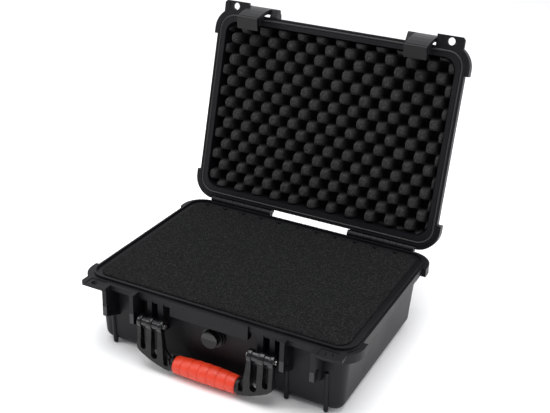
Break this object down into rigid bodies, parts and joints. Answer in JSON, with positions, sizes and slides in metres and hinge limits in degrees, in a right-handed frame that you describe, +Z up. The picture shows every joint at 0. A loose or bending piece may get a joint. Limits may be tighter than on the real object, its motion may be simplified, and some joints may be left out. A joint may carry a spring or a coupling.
{
  "type": "hard equipment case",
  "caption": "Hinged hard case with foam-filled base and egg-crate lid foam, draw latches, padlock ears, pressure valve and a folding carry handle.",
  "frame": {"origin": "centre of the flat stacking pad under the base, on the plane the case stands on", "axes": "+Z up, +X to the right as seen from the latch side, -Y to the front where handle and latches are; lid shown open"},
  "size_m": [0.416, 0.4395, 0.4207],
  "materials": {
    "shell_plastic": "moulded, lightly textured, satin black",
    "trim_plastic": "smooth moulded black",
    "block_foam": "open-cell charcoal foam",
    "egg_foam": "convoluted open-cell charcoal foam",
    "grip_rubber": "soft orange-red overmould",
    "seal_rubber": "soft black sealing rubber",
    "pin_steel": "plain steel pin"
  },
  "bodies": {
    "base": {"base_shell": "shell_plastic", "base_foam_pad": "block_foam", "base_foam_lower": "block_foam", "base_foam_upper": "block_foam", "hinge_pin_right": "pin_steel", "hinge_pin_left": "pin_steel", "handle_pin_right": "pin_steel", "handle_pin_left": "pin_steel", "valve_seal": "seal_rubber", "valve_body": "trim_plastic", "valve_nut": "trim_plastic", "valve_membrane": "seal_rubber"},
    "valve_knob": {"valve_knob": "trim_plastic"},
    "handle": {"handle_frame": "trim_plastic", "handle_grip": "grip_rubber"},
    "lid": {"lid_shell": "shell_plastic", "lid_gasket": "seal_rubber", "lid_foam": "egg_foam"},
    "latch_pin_right": {"latch_pin_right": "pin_steel"},
    "latch_pin_left": {"latch_pin_left": "pin_steel"},
    "latch_lever_right": {"latch_lever_right": "trim_plastic", "latch_hook_pin_right": "pin_steel"},
    "latch_lever_left": {"latch_lever_left": "trim_plastic", "latch_hook_pin_left": "pin_steel"},
    "latch_hook_right": {"latch_hook_right": "trim_plastic"},
    "latch_hook_left": {"latch_hook_left": "trim_plastic"}
  },
  "joints": [
    {"name": "lid_hinge", "type": "hinge", "parent": "base", "child": "lid", "pos_m": [0, 0.154, 0.1105], "axis": [1, 0, 0], "range_deg": [0, 103.5]},
    {"name": "latch_carry_right", "type": "hinge", "parent": "lid", "child": "latch_pin_right", "pos_m": [0, 0.23658, 0.40948], "axis": [1, 0, 0], "range_deg": [-36.5, 0]},
    {"name": "latch_carry_left", "type": "hinge", "parent": "lid", "child": "latch_pin_left", "pos_m": [0, 0.23658, 0.40948], "axis": [1, 0, 0], "range_deg": [-36.5, 0]},
    {"name": "latch_swing_right", "type": "hinge", "parent": "latch_pin_right", "child": "latch_lever_right", "pos_m": [0, 0.23658, 0.40948], "axis": [1, 0, 0], "range_deg": [-70, 17]},
    {"name": "latch_swing_left", "type": "hinge", "parent": "latch_pin_left", "child": "latch_lever_left", "pos_m": [0, 0.23658, 0.40948], "axis": [1, 0, 0], "range_deg": [-70, 17]},
    {"name": "latch_hook_right", "type": "hinge", "parent": "latch_lever_right", "child": "latch_hook_right", "pos_m": [0, 0.19472, 0.3991], "axis": [1, 0, 0], "range_deg": [0, 20]},
    {"name": "latch_hook_left", "type": "hinge", "parent": "latch_lever_left", "child": "latch_hook_left", "pos_m": [0, 0.19472, 0.3991], "axis": [1, 0, 0], "range_deg": [0, 20]},
    {"name": "handle_pivot", "type": "hinge", "parent": "base", "child": "handle", "pos_m": [0, -0.1576, 0.0717], "axis": [-1, 0, 0], "range_deg": [0, 95]},
    {"name": "valve_turn", "type": "hinge", "parent": "base", "child": "valve_knob", "pos_m": [0, -0.14, 0.0665], "axis": [0, -1, 0], "range_deg": [0, 360]}
  ],
  "couplings": [
    {"joint": "latch_carry_right", "follows": "lid_hinge", "ratio": -0.34783},
    {"joint": "latch_carry_left", "follows": "lid_hinge", "ratio": -0.34783}
  ]
}
